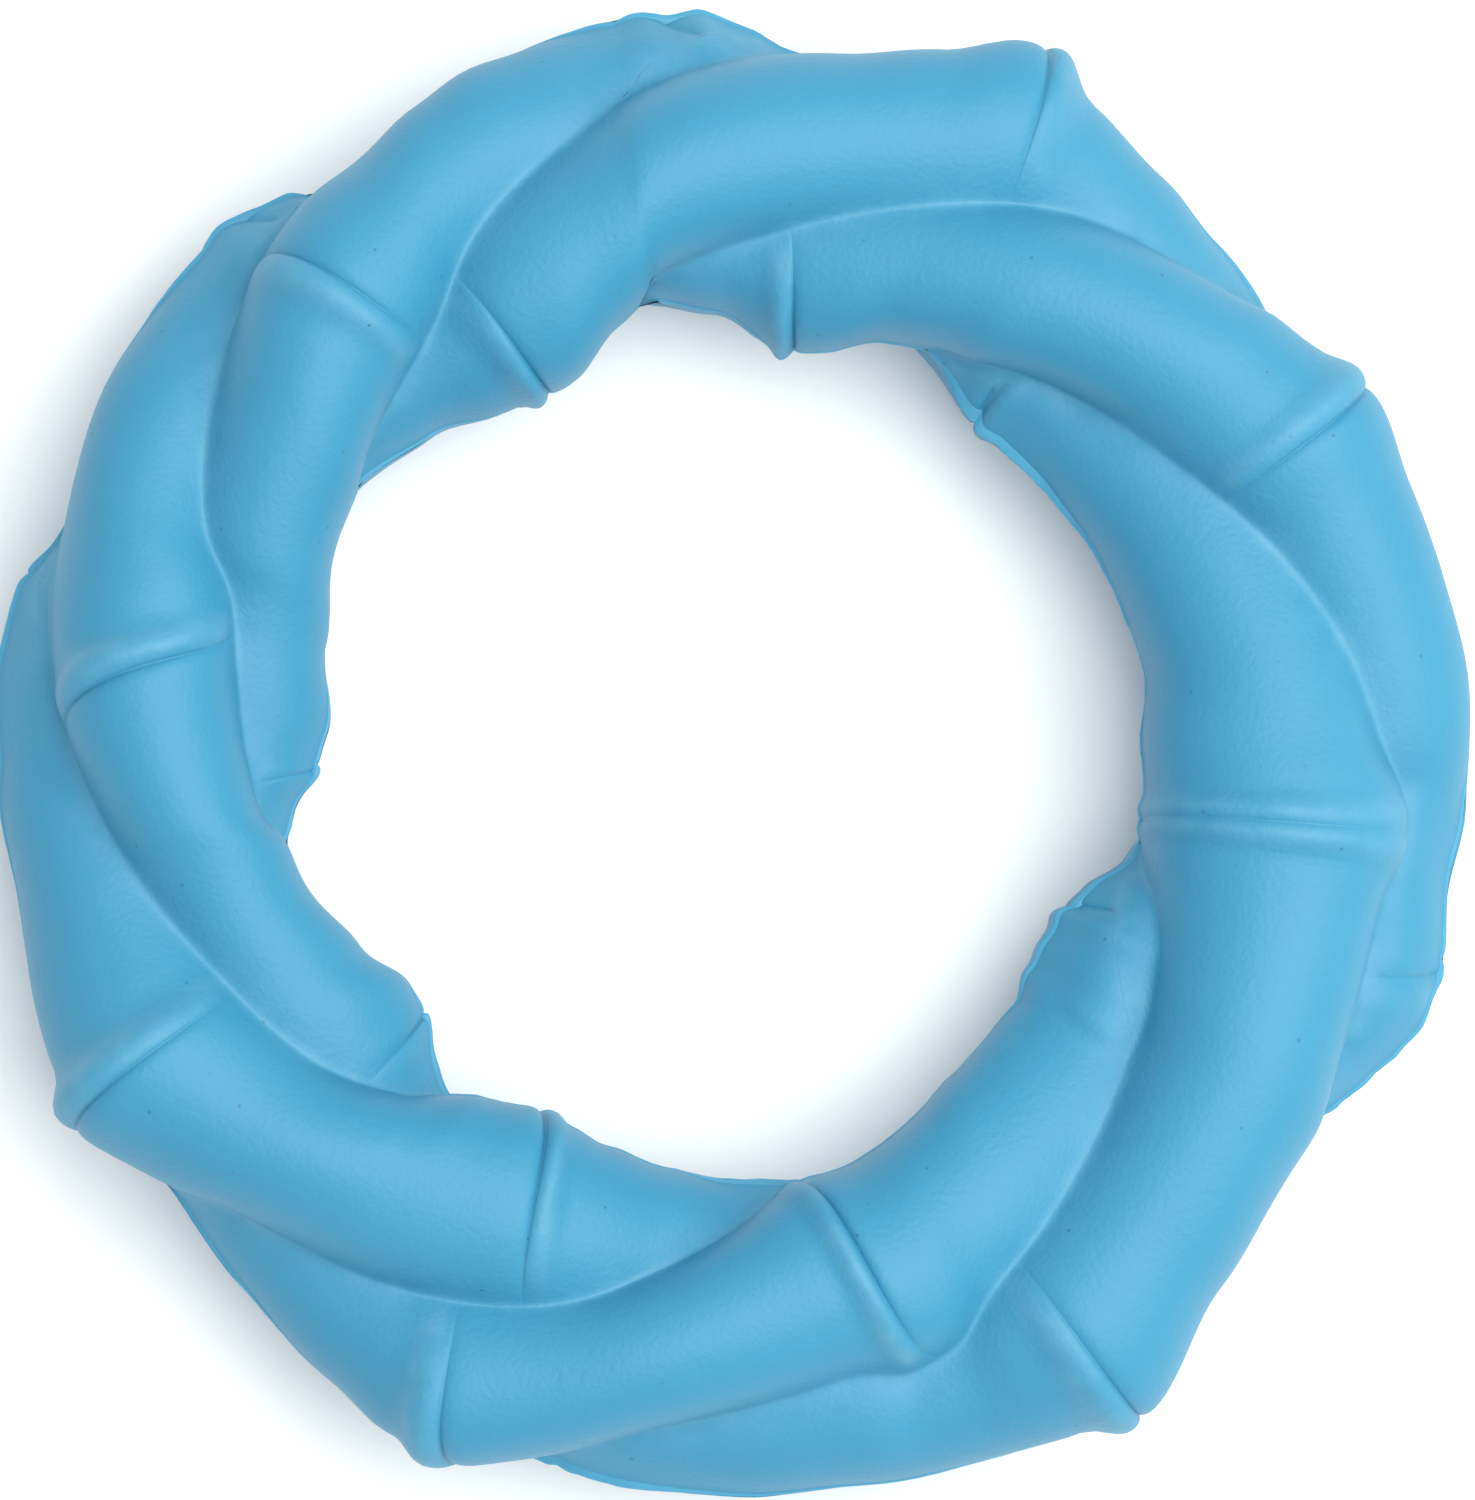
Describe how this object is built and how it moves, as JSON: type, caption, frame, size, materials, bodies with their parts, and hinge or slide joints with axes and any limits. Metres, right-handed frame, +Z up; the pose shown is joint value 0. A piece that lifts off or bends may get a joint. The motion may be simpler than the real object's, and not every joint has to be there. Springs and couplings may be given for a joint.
{
  "type": "rubber chew ring",
  "caption": "Blue rubber chew ring for dogs, moulded as bamboo canes twisted round each other, with flared knuckles and a thin trimmed flash line at half height.",
  "frame": {"origin": "centre of the ring's bounding box, on the surface that it lies on", "axes": "+Z up along the ring's axis, through its thickness; +Y towards the top of the picture"},
  "size_m": [0.1486, 0.1496, 0.0339],
  "materials": {
    "blue_rubber": "satin moulded rubber, mid sky blue",
    "flash_rubber": "thin trimmed rubber, paler blue where light passes"
  },
  "bodies": {
    "root": {"upper_cane_1": "blue_rubber", "upper_cane_2": "blue_rubber", "upper_cane_3": "blue_rubber", "upper_cane_4": "blue_rubber", "upper_cane_5": "blue_rubber", "upper_cane_6": "blue_rubber", "upper_cane_7": "blue_rubber", "lower_cane_1": "blue_rubber", "lower_cane_2": "blue_rubber", "lower_cane_3": "blue_rubber", "lower_cane_4": "blue_rubber", "lower_cane_5": "blue_rubber", "lower_cane_6": "blue_rubber", "lower_cane_7": "blue_rubber", "parting_flash": "flash_rubber"}
  },
  "joints": []
}
